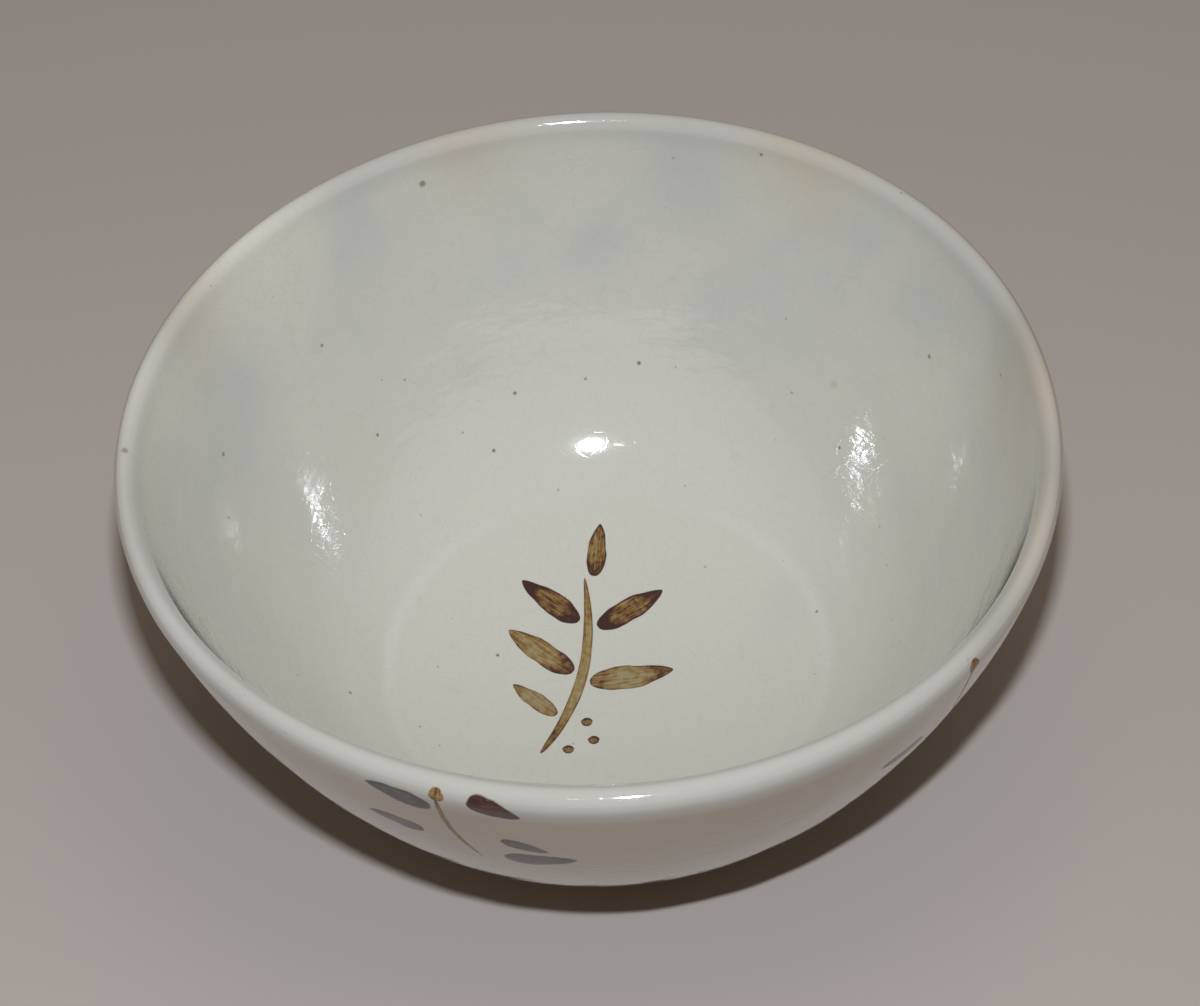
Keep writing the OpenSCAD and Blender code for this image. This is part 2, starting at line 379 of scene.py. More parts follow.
@dataclass(frozen=True)
class HandMarks:
    """How far the pot departs from a true turned form, as a thrower and a paring knife leave it.

    The shares are of the radius, and grow from the foot to the lip. The heights are in millimetres.
    """

    oval: tuple[float, float] = (0.0001, -0.0057)
    three_sided: tuple[float, float] = (-0.0053, -0.0018)
    lean: tuple[float, float] = (-0.0084, 0.0070)
    well_ring: float = 0.5
    ring_level: float = 19.6
    ring_width: float = 9.0
    inside_ripple: float = 0.07
    ripple_levels: tuple[float, float] = (27.0, 36.0)
    ripple_below_lip: tuple[float, float] = (0.5, 24.0)
    ripple_sizes: tuple[float, float] = (16.0, 6.5)
    pared_flat: float = 0.28
    flat_below_lip: tuple[float, float] = (0.5, 5.0)
    flat_sizes: tuple[float, float] = (30.0, 13.0)
    lip_wave: float = 0.18
    wave_growth: int = 6
    bulge: float = 0.75
    bulge_bearing: float = 38.0
    bulge_spread: float = 28.0
    front_bearing: float = 268.0
    front_spread: float = 56.0
    front_rise: float = 2.1
    rise_growth: int = 2
    front_lip: float = 1.8
    lip_spread: float = 62.0

    def at_front(self, turn: np.ndarray) -> np.ndarray:
        """Gives 1 where the lip was left highest, falling to 0 round the sides."""
        return np.exp(-(degrees_from(self.front_bearing, turn) / self.front_spread) ** 4)

    def lip_share(self, turn: np.ndarray) -> np.ndarray:
        """Gives how much of its extra thickness the lip has, most in front and fading round the sides."""
        return np.exp(-(degrees_from(self.front_bearing, turn) / self.lip_spread) ** 2)

    def lift(self, rise: np.ndarray, turn: np.ndarray) -> np.ndarray:
        """Gives how far the wall was drawn up, most at the lip in front."""
        return self.front_rise * self.at_front(turn) * rise ** self.rise_growth

    def shape(self, points: np.ndarray, section: WallSection) -> np.ndarray:
        """Makes true points out of round, and leans them over the foot.

        Args:
            points: points in millimetres.
            section: the pot's section.

        Returns:
            The moved points.
        """
        rise = np.clip((points[..., 2] - section.foot_h) / (section.height - section.foot_h), 0, 1.05)
        turn = np.arctan2(points[..., 1], points[..., 0])
        swell = (self.oval[0] * np.cos(2 * turn) + self.oval[1] * np.sin(2 * turn)
                 + self.three_sided[0] * np.cos(3 * turn) + self.three_sided[1] * np.sin(3 * turn))
        away = degrees_from(self.bulge_bearing, turn)
        swell += self.bulge / (section.mouth_d / 2) * np.exp(-(away / self.bulge_spread) ** 2)
        moved = points.copy()
        moved[..., :2] *= (1 + rise * swell)[..., None]
        lifted = rise[..., None] * (section.height - section.foot_h)
        moved[..., :2] += lifted * np.array(self.lean)
        around = np.stack([np.cos(turn), np.sin(turn), 0 * turn], axis=-1)
        wave = ripple(around, size=1.6, seed=5, waves=8) * rise ** self.wave_growth
        moved[..., 2] += self.lip_wave * wave + self.lift(rise, turn)
        return moved

    def relief(self, points: np.ndarray, side: Side, section: WallSection) -> np.ndarray:
        """Gives the small relief that stands up from the true surface.

        Args:
            points: true points in millimetres.
            side: which side of the pot they are on.
            section: the pot's section.

        Returns:
            A height along the surface normal for each point.
        """
        level = points[..., 2]
        depth = section.height - level
        if side is Side.INSIDE:
            away = smooth_step(*self.ripple_below_lip, depth) * smooth_step(*self.ripple_levels, level)
            drawn = points * np.array([0.7, 0.7, 1.0])
            coarse, fine = self.ripple_sizes
            lumps = ripple(drawn, coarse, 11) + 0.45 * ripple(drawn, fine, 12)
            ring = np.exp(-((level - self.ring_level) / self.ring_width * 2) ** 2)
            return away * self.inside_ripple * lumps + self.well_ring * ring
        away = smooth_step(*self.flat_below_lip, depth)
        stretched = points * np.array([1.0, 1.0, 0.45])
        coarse, fine = self.flat_sizes
        flats = ripple(stretched, coarse, 21) + 0.5 * ripple(stretched, fine, 22)
        return away * self.pared_flat * (np.abs(flats) - 0.5) * 0.6


# Finishes

@dataclass(frozen=True)
class GlazeMark:
    """A cloud or a spot in the glaze, or a patch of painted light or shade, by its bearing and its distance
    from the axis of the pot.
    """

    bearing: float
    out: float
    radius: float
    colour: str
    share: float
    core: float = 0.0


HAZE = "9ea3a2"
BLUSH = "b29f80"
IRON = "4a483c"
# Grey laid on the right of the lip as painted shade, where less light falls
LIP_PAINTED_SHADE = "8c8a84"
# Pale grey laid on the front of the lip and the wall just inside it as a painted sheen
LIP_PAINTED_SHEEN = "c2c4c4"
# Pale cream laid on the left and back of the lip and high on the back right wall as painted light
PAINTED_LIGHT_PATCH = "c9c9be"
# Clouds, specks and spots in the glaze, and patches of painted light and shade on the lip and wall
GLAZE_MARKS_AND_PAINTED_LIGHT = (
    GlazeMark(75, 74, 17, HAZE, 0.32), GlazeMark(87, 69, 10, HAZE, 0.35),
    GlazeMark(125, 72, 20, HAZE, 0.12), GlazeMark(60, 66, 20, HAZE, 0.22),
    GlazeMark(160, 69, 22, HAZE, 0.2), GlazeMark(19, 36, 11, HAZE, 0.15),
    GlazeMark(4, 75, 24, BLUSH, 0.5), GlazeMark(-21, 74, 24, BLUSH, 0.5),
    GlazeMark(57, 76, 18, BLUSH, 0.35), GlazeMark(151, 76, 16, BLUSH, 0.3),
    GlazeMark(104, 76, 14, BLUSH, 0.3),
    # Painted shade on the right of the lip, and a painted sheen on the front of the lip and just inside it
    GlazeMark(12, 78, 16, LIP_PAINTED_SHADE, 0.4), GlazeMark(-12, 78, 16, LIP_PAINTED_SHADE, 0.4),
    GlazeMark(-36, 78, 16, LIP_PAINTED_SHADE, 0.35), GlazeMark(270, 72, 34, LIP_PAINTED_SHEEN, 0.12),
    GlazeMark(235, 77, 26, LIP_PAINTED_SHEEN, 0.1), GlazeMark(208, 78, 24, LIP_PAINTED_SHEEN, 0.25),
    # Painted light on the left and back of the lip and high on the back right wall
    GlazeMark(138, 77, 26, PAINTED_LIGHT_PATCH, 0.8), GlazeMark(168, 76, 24, PAINTED_LIGHT_PATCH, 0.5),
    GlazeMark(22, 69, 24, PAINTED_LIGHT_PATCH, 0.4),
    GlazeMark(43, 61.5, 1.3, "ab9c7c", 0.6, 0.0), GlazeMark(111, 75, 0.9, "6d6a48", 0.8, 0.3),
    GlazeMark(80, 57.5, 0.55, IRON, 0.85, 0.3), GlazeMark(104, 55.5, 0.5, IRON, 0.85, 0.3),
    GlazeMark(111.5, 49.5, 0.5, IRON, 0.85, 0.3), GlazeMark(160, 21, 0.5, IRON, 0.9, 0.3),
    GlazeMark(134, 68, 0.5, IRON, 0.7, 0.3), GlazeMark(28, 69.5, 0.6, IRON, 0.75, 0.3),
    GlazeMark(63, 76, 0.5, IRON, 0.7, 0.3), GlazeMark(160.5, 68.5, 0.6, IRON, 0.75, 0.3),
    GlazeMark(177.5, 78, 0.9, "7a6656", 0.7, 0.3))


@dataclass(frozen=True)
class Specks:
    """Pinhead specks in the glaze, at most one in a cell.

    The radius is that of the largest, share is how strongly they colour the glaze, and without is the
    share of cells that have none.
    """

    cell_mm: float
    radius_mm: float
    share: float
    without: float


# A share of the surface, and the colour that is laid over it there
Layer = tuple[bpy.types.NodeSocket, str]


@dataclass(frozen=True)
class IvoryGlaze:
    """Feldspar glaze, poured and fired glossy, over iron-bearing stoneware.

    The eye sees a soft ivory with cloudy blue-grey and warm patches, pinhead iron specks and a hair-fine
    crackle that breaks the edges of highlights. The greyer lip is partly a thin coat and partly painted
    shade, the darker, warmer outside is painted shade with painted warm light from the floor, and paler
    patches on the lip and a pale ring round the floor of the well are painted light. A clear layer on top
    gives it a wet gloss.
    """

    ivory: str = "babab1"
    ivory_deep: str = "b5b6ad"
    haze: str = "a9acab"
    # Grey of the lip, partly a thin coat and partly painted shade
    lip: str = "aaaaa4"
    # Colour of the outside: painted shade for a wall that faces down, with painted warm light from the
    # floor
    outside: str = "928670"
    speck: str = "5a584c"
    crackle: str = "a3a196"
    # Colour of the painted light on the ring round the floor of the well
    pool: str = "d2d2ca"
    ior: float = 1.52
    roughness: float = 0.05
    cloud_mm: float = 34.0
    haze_mm: float = 20.0
    haze_levels_mm: tuple[float, float] = (30.0, 66.0)
    haze_share: float = 0.42
    drift_mm: float = 14.0
    ragged_from_mm: float = 3.0
    painted_ring_r_mm: float = 39.6
    painted_ring_w_mm: float = 4.2
    painted_ring_sides_mm: tuple[float, float] = (14.0, 38.0)
    painted_ring_share: float = 0.2
    lip_levels_mm: tuple[float, float] = (74.0, 78.8)
    lip_share: float = 0.9
    specks: tuple[Specks, ...] = (Specks(6.5, 0.50, 0.75, 0.55), Specks(3.4, 0.30, 0.55, 0.42))
    crackle_cell_mm: float = 2.6
    crackle_line_mm: float = 0.10
    crackle_share: float = 0.22
    crackle_cut: float = 0.35
    peel_mm: float = 1.4
    wheel_mm: float = 4.5
    wheel_flatness: float = 3.0
    wheel_levels_mm: tuple[float, float] = (27.5, 34.0)
    wheel_fade_mm: tuple[float, float] = (62.0, 72.0)
    wheel_depth: float = 4.0
    relief_mm: float = 0.1
    relief_strength: float = 0.12

    def material(self, marks: list[tuple[GlazeMark, Vector]]) -> bpy.types.Material:
        """Builds the glaze from its colours and sizes.

        Args:
            marks: clouds, spots and patches of painted light and shade, each with its centre in metres.

        Returns:
            The material.
        """
        material, tree = new_material("ivory_feldspar_glaze_poured")
        coordinates = add_node(tree, "ShaderNodeTexCoord")
        place = coordinates.outputs["Object"]
        cloud = add_node(tree, "ShaderNodeTexNoise",
                         {"Vector": place, "Scale": per_mm(self.cloud_mm), "Detail": 2.0})
        haze = add_node(tree, "ShaderNodeTexNoise",
                        {"Vector": place, "Scale": per_mm(self.haze_mm), "Detail": 3.0, "Distortion": 0.6})
        # Hair-fine crackle, drawn a little wider than the real one so that it shows at all
        cracks = add_node(tree, "ShaderNodeTexVoronoi",
                          {"Vector": place, "Scale": per_mm(self.crackle_cell_mm)},
                          feature="DISTANCE_TO_EDGE")
        line = add_node(tree, "ShaderNodeMapRange",
                        {0: cracks.outputs["Distance"], 1: 0.0,
                         2: self.crackle_line_mm / self.crackle_cell_mm, 3: 1.0, 4: 0.0})
        faint = add_node(tree, "ShaderNodeMath", {0: line.outputs[0], 1: self.crackle_share},
                         operation="MULTIPLY")
        layers = [*self.tints(tree, coordinates, haze), *self.clouds(tree, place, haze, marks),
                  (faint.outputs[0], self.crackle), *self.speckles(tree, place)]
        tone = add_node(tree, "ShaderNodeMix", {0: cloud.outputs["Fac"], 6: linear(self.ivory),
                                                7: linear(self.ivory_deep)}, data_type="RGBA")
        for share, colour in layers:
            tone = add_node(tree, "ShaderNodeMix", {0: share, 6: tone.outputs[2], 7: linear(colour)},
                            data_type="RGBA")
        bump = self.fired_relief(tree, place, line.outputs[0])
        shine = add_node(tree, "ShaderNodeMapRange",
                         {0: cloud.outputs["Fac"], 1: 0.3, 2: 0.7, 3: self.roughness - 0.02,
                          4: self.roughness + 0.03})
        shader = add_node(tree, "ShaderNodeBsdfPrincipled",
                          {"Base Color": tone.outputs[2], "Roughness": shine.outputs[0],
                           "IOR": self.ior, "Coat Weight": 1.0, "Coat Roughness": 0.04,
                           "Coat IOR": self.ior, "Normal": bump.outputs[0],
                           "Coat Normal": bump.outputs[0]})
        add_node(tree, "ShaderNodeOutputMaterial", {"Surface": shader.outputs[0]})
        return material

    def tints(self, tree: bpy.types.NodeTree, coordinates: bpy.types.Node,
              haze: bpy.types.Node) -> list[Layer]:
        """Lays the haze, the painted light on the ring round the well, the painted shade of the outside and
        the partly painted shade of the lip.

        Args:
            tree: the glaze's node tree.
            coordinates: the node that gives places on the pot.
            haze: the noise that breaks up the haze.

        Returns:
            The layers, from the lowest up.
        """
        place = coordinates.outputs["Object"]
        axes = add_node(tree, "ShaderNodeSeparateXYZ", {0: place})
        # Faint blue-grey haze in the upper half
        start, full = self.haze_levels_mm
        upper = add_node(tree, "ShaderNodeMapRange",
                         {0: axes.outputs["Z"], 1: start * MM, 2: full * MM, 4: self.haze_share})
        patch = add_node(tree, "ShaderNodeMapRange", {0: haze.outputs["Fac"], 1: 0.46, 2: 0.66})
        hazed = add_node(tree, "ShaderNodeMath", {0: upper.outputs[0], 1: patch.outputs[0]},
                         operation="MULTIPLY")
        # Faint paler ring round the floor of the well: painted light where the ring catches the lamp,
        # stronger at its two sides
        flat = add_node(tree, "ShaderNodeVectorMath", {0: place, 1: (1.0, 1.0, 0.0)},
                        operation="MULTIPLY")
        out = add_node(tree, "ShaderNodeVectorMath", {0: flat.outputs[0]}, operation="LENGTH")
        across = add_node(tree, "ShaderNodeMath", {0: out.outputs["Value"], 1: self.painted_ring_r_mm * MM},
                          operation="SUBTRACT")
        near = add_node(tree, "ShaderNodeMath", {0: across.outputs[0]}, operation="ABSOLUTE")
        painted_ring_light = add_node(tree, "ShaderNodeMapRange",
                          {0: near.outputs[0], 1: 0.5 * self.painted_ring_w_mm * MM, 2: 0.0},
                          interpolation_type="SMOOTHSTEP")
        sideways = add_node(tree, "ShaderNodeMath", {0: axes.outputs["X"]}, operation="ABSOLUTE")
        start, full = self.painted_ring_sides_mm
        fading = add_node(tree, "ShaderNodeMapRange",
                          {0: sideways.outputs[0], 1: start * MM, 2: full * MM, 4: self.painted_ring_share})
        ring = add_node(tree, "ShaderNodeMath", {0: painted_ring_light.outputs[0], 1: fading.outputs[0]},
                        operation="MULTIPLY")
        # Darker, warmer outside: painted shade for the wall that faces down away from the lamps, and
        # painted warm light from the floor, told from the inside by which way the surface faces
        outward = add_node(tree, "ShaderNodeVectorMath", {0: flat.outputs[0]}, operation="NORMALIZE")
        facing = add_node(tree, "ShaderNodeVectorMath",
                          {0: outward.outputs[0], 1: coordinates.outputs["Normal"]},
                          operation="DOT_PRODUCT")
        outer = add_node(tree, "ShaderNodeMapRange", {0: facing.outputs["Value"], 1: 0.1, 2: 0.75})
        # Greyer lip, partly a thin coat and partly painted shade on its upward face, which the overhead
        # lamp lights
        start, full = self.lip_levels_mm
        on_lip = add_node(tree, "ShaderNodeMapRange",
                          {0: axes.outputs["Z"], 1: start * MM, 2: full * MM, 4: self.lip_share},
                          interpolation_type="SMOOTHSTEP")
        return [(hazed.outputs[0], self.haze), (ring.outputs[0], self.pool),
                (outer.outputs[0], self.outside), (on_lip.outputs[0], self.lip)]

    def clouds(self, tree: bpy.types.NodeTree, place: bpy.types.NodeSocket, haze: bpy.types.Node,
               marks: list[tuple[GlazeMark, Vector]]) -> list[Layer]:
        """Lays clouds with ragged borders, spots, and patches of painted light and shade.

        Args:
            tree: the glaze's node tree.
            place: places on the pot.
            haze: the noise that makes the borders ragged.
            marks: clouds, spots and patches of painted light and shade, each with its centre in metres.

        Returns:
            The layers, from the lowest up.
        """
        centred = add_node(tree, "ShaderNodeVectorMath",
                           {0: haze.outputs["Color"], 1: (0.5, 0.5, 0.5)}, operation="SUBTRACT")
        drift = add_node(tree, "ShaderNodeVectorMath",
                         {0: centred.outputs[0], 1: (self.drift_mm * MM,) * 3, 2: place},
                         operation="MULTIPLY_ADD")
        layers = []
        for mark, centre in marks:
            ragged = mark.radius > self.ragged_from_mm
            gap = add_node(tree, "ShaderNodeVectorMath",
                           {0: drift.outputs[0] if ragged else place, 1: centre}, operation="DISTANCE")
            share = add_node(tree, "ShaderNodeMapRange",
                             {0: gap.outputs["Value"], 1: mark.radius * MM,
                              2: mark.core * mark.radius * MM, 4: mark.share},
                             interpolation_type="SMOOTHSTEP")
            layers.append((share.outputs[0], mark.colour))
        return layers

    def speckles(self, tree: bpy.types.NodeTree, place: bpy.types.NodeSocket) -> list[Layer]:
        """Lays specks in some of the cells only, each of its own size.

        Args:
            tree: the glaze's node tree.
            place: places on the pot.

        Returns:
            The layers, from the lowest up.
        """
        layers = []
        for specks in self.specks:
            reach = specks.radius_mm / specks.cell_mm
            dots = add_node(tree, "ShaderNodeTexVoronoi",
                            {"Vector": place, "Scale": per_mm(specks.cell_mm)})
            luck = add_node(tree, "ShaderNodeSeparateColor", {0: dots.outputs["Color"]})
            size = add_node(tree, "ShaderNodeMapRange",
                            {0: luck.outputs[0], 1: specks.without, 2: 1.0, 3: 0.0, 4: reach})
            depth = add_node(tree, "ShaderNodeMath", {0: size.outputs[0], 1: dots.outputs["Distance"]},
                             operation="SUBTRACT")
            dot = add_node(tree, "ShaderNodeMapRange",
                           {0: depth.outputs[0], 1: 0.0, 2: 0.5 * reach, 4: specks.share})
            layers.append((dot.outputs[0], self.speck))
        return layers

    def fired_relief(self, tree: bpy.types.NodeTree, place: bpy.types.NodeSocket,
                     line: bpy.types.NodeSocket) -> bpy.types.Node:
        """Gives the fired surface its orange-peel, its cut crackle and the fine marks of the wheel.

        Args:
            tree: the glaze's node tree.
            place: places on the pot.
            line: the lines of the crackle.

        Returns:
            The bump node.
        """
        peel = add_node(tree, "ShaderNodeTexNoise",
                        {"Vector": place, "Scale": per_mm(self.peel_mm), "Detail": 2.0})
        cut = add_node(tree, "ShaderNodeMath", {0: line, 1: -self.crackle_cut, 2: peel.outputs["Fac"]},
                       operation="MULTIPLY_ADD")
        # The marks of the wheel on the wall draw a highlight out into a streak
        squeezed = add_node(tree, "ShaderNodeVectorMath", {0: place, 1: (1.0, 1.0, self.wheel_flatness)},
                            operation="MULTIPLY")
        wheel = add_node(tree, "ShaderNodeTexNoise", {"Vector": squeezed.outputs[0], "Detail": 1.0,
                                                      "Scale": per_mm(self.wheel_mm)})
        axes = add_node(tree, "ShaderNodeSeparateXYZ", {0: place})
        start, full = self.wheel_levels_mm
        walled = add_node(tree, "ShaderNodeMapRange",
                          {0: axes.outputs["Z"], 1: start * MM, 2: full * MM, 4: self.wheel_depth})
        start, gone = self.wheel_fade_mm
        smoothed = add_node(tree, "ShaderNodeMapRange",
                            {0: axes.outputs["Z"], 1: start * MM, 2: gone * MM, 3: 1.0, 4: 0.0})
        marked = add_node(tree, "ShaderNodeMath", {0: walled.outputs[0], 1: smoothed.outputs[0]},
                          operation="MULTIPLY")
        raised = add_node(tree, "ShaderNodeMath", {0: wheel.outputs["Fac"], 1: marked.outputs[0],
                                                   2: cut.outputs[0]}, operation="MULTIPLY_ADD")
        return add_node(tree, "ShaderNodeBump", {"Strength": self.relief_strength,
                                                 "Distance": self.relief_mm * MM,
                                                 "Height": raised.outputs[0]})


@dataclass(frozen=True)
class BareStoneware:
    """Sandy stoneware, trimmed on the wheel and left bare at the foot.

    The eye sees a dry buff clay, toasted darker in patches, with fine grog that catches the light.
    """

    buff: str = "b09a80"
    toasted: str = "8e7257"
    grit: str = "5a4535"
    roughness: float = 0.86
    ior: float = 1.5
    patch_mm: float = 18.0
    grog_mm: float = 0.9
    grog_depth_mm: float = 0.25
    grit_cell_mm: float = 2.4
    grit_r_mm: float = 0.35

    def material(self) -> bpy.types.Material:
        """Builds the clay from its colours and sizes.

        Returns:
            The material.
        """
        material, tree = new_material("bare_stoneware_trimmed")
        place = add_node(tree, "ShaderNodeTexCoord").outputs["Object"]
        patches = add_node(tree, "ShaderNodeTexNoise",
                           {"Vector": place, "Scale": per_mm(self.patch_mm), "Detail": 3.0})
        toast = add_node(tree, "ShaderNodeMapRange", {0: patches.outputs["Fac"], 1: 0.35, 2: 0.7})
        tone = add_node(tree, "ShaderNodeMix", {0: toast.outputs[0], 6: linear(self.buff),
                                                7: linear(self.toasted)}, data_type="RGBA")
        grains = add_node(tree, "ShaderNodeTexVoronoi",
                          {"Vector": place, "Scale": per_mm(self.grit_cell_mm)})
        grain = add_node(tree, "ShaderNodeMapRange",
                         {0: grains.outputs["Distance"], 1: self.grit_r_mm / self.grit_cell_mm,
                          2: 0.3 * self.grit_r_mm / self.grit_cell_mm, 4: 0.8})
        tone = add_node(tree, "ShaderNodeMix", {0: grain.outputs[0], 6: tone.outputs[2],
                                                7: linear(self.grit)}, data_type="RGBA")
        grog = add_node(tree, "ShaderNodeTexNoise",
                        {"Vector": place, "Scale": per_mm(self.grog_mm), "Detail": 4.0})
        bump = add_node(tree, "ShaderNodeBump",
                        {"Strength": 0.5, "Distance": self.grog_depth_mm * MM,
                         "Height": grog.outputs["Fac"]})
        shader = add_node(tree, "ShaderNodeBsdfPrincipled",
                          {"Base Color": tone.outputs[2], "Roughness": self.roughness, "IOR": self.ior,
                           "Normal": bump.outputs[0]})
        add_node(tree, "ShaderNodeOutputMaterial", {"Surface": shader.outputs[0]})
        return material


@dataclass(frozen=True)
class BrushPigment:
    """Metal-oxide pigment, brushed on and fired into the glaze.

    The eye sees a see-through wash with a darker outline where the wet pigment gathered, faint streaks
    along the path of the brush, and near-black pools with crisp borders where it was laid thick.
    """

    name: str
    thin: str
    middle: str
    dark: str
    pool: str
    least_cover: float = 0.6
    rim_gather: float = 0.22
    rim_mm: float = 0.5
    soft_mm: float = 0.14
    mottle_mm: float = 1.1
    mottle_swing: float = 0.16
    streak_swing: float = 0.20
    loads: tuple[float, float, float, float] = (0.08, 0.34, 0.58, 0.72)

    def material(self, glaze: IvoryGlaze) -> bpy.types.Material:
        """Builds the pigment from the two attributes that each stroke carries.

        Args:
            glaze: the glaze whose gloss the pigment shares.

        Returns:
            The material.
        """
        material, tree = new_material(self.name)
        stroke = add_node(tree, "ShaderNodeAttribute", attribute_name="stroke")
        parts = add_node(tree, "ShaderNodeSeparateXYZ", {0: stroke.outputs["Vector"]})
        path = add_node(tree, "ShaderNodeAttribute", attribute_name="path")
        streak = add_node(tree, "ShaderNodeTexNoise",
                          {"Vector": path.outputs["Vector"], "Scale": 1.0, "Detail": 2.0})
        place = add_node(tree, "ShaderNodeTexCoord").outputs["Object"]
        mottle = add_node(tree, "ShaderNodeTexNoise",
                          {"Vector": place, "Scale": per_mm(self.mottle_mm), "Detail": 3.0})
        rim = add_node(tree, "ShaderNodeMapRange",
                       {0: parts.outputs["X"], 1: self.rim_mm, 2: 0.3 * self.rim_mm, 4: self.rim_gather},
                       interpolation_type="SMOOTHSTEP")
        load = add_node(tree, "ShaderNodeMath", {0: parts.outputs["Y"], 1: rim.outputs[0]},
                        operation="ADD")
        for noise, swing in ((streak, self.streak_swing), (mottle, self.mottle_swing)):
            uneven = add_node(tree, "ShaderNodeMapRange",
                              {0: noise.outputs["Fac"], 1: 0.3, 2: 0.7, 3: -swing, 4: swing})
            load = add_node(tree, "ShaderNodeMath", {0: load.outputs[0], 1: uneven.outputs[0]},
                            operation="ADD", use_clamp=True)
        ramp = add_node(tree, "ShaderNodeValToRGB", {0: load.outputs[0]})
        stops = ramp.color_ramp.elements
        thin_at, middle_at, dark_at, pool_at = self.loads
        stops[0].position, stops[0].color = thin_at, linear(self.thin)
        stops[1].position, stops[1].color = pool_at, linear(self.pool)
        stops.new(middle_at).color = linear(self.middle)
        stops.new(dark_at).color = linear(self.dark)
        cover = add_node(tree, "ShaderNodeMapRange",
                         {0: load.outputs[0], 1: 0.05, 2: 0.55, 3: self.least_cover, 4: 0.97})
        fade = add_node(tree, "ShaderNodeMapRange", {0: parts.outputs["X"], 1: 0.0, 2: self.soft_mm},
                        interpolation_type="SMOOTHSTEP")
        alpha = add_node(tree, "ShaderNodeMath", {0: cover.outputs[0], 1: fade.outputs[0]},
                         operation="MULTIPLY")
        shader = add_node(tree, "ShaderNodeBsdfPrincipled",
                          {"Base Color": ramp.outputs["Color"], "Roughness": glaze.roughness,
                           "IOR": glaze.ior, "Alpha": alpha.outputs[0]})
        add_node(tree, "ShaderNodeOutputMaterial", {"Surface": shader.outputs[0]})
        return material


IRON_WASH = BrushPigment("iron_wash_brushed_thin", "968450", "876a2e", "624117", "402010", soft_mm=0.26)
IRON_BROWN = BrushPigment("iron_brown_brushed_thick", "92804c", "80602a", "4a2b11", "331714", soft_mm=0.2)
COBALT_GREY = BrushPigment("greyed_cobalt_brushed", "7e7a7c", "656166", "4f4a4d", "3f3a3e",
                           least_cover=0.45, rim_gather=0.0, soft_mm=0.7)
RED_IRON = BrushPigment("red_iron_brushed", "7a5244", "5a352b", "46251e", "381c18", least_cover=0.7,
                        rim_gather=0.1, soft_mm=0.5)
AMBER_WASH = BrushPigment("amber_wash_brushed", "a58a58", "8e7040", "6f4a20", "5a3413",
                          least_cover=0.4, rim_gather=0.05, soft_mm=0.35)


# The pot

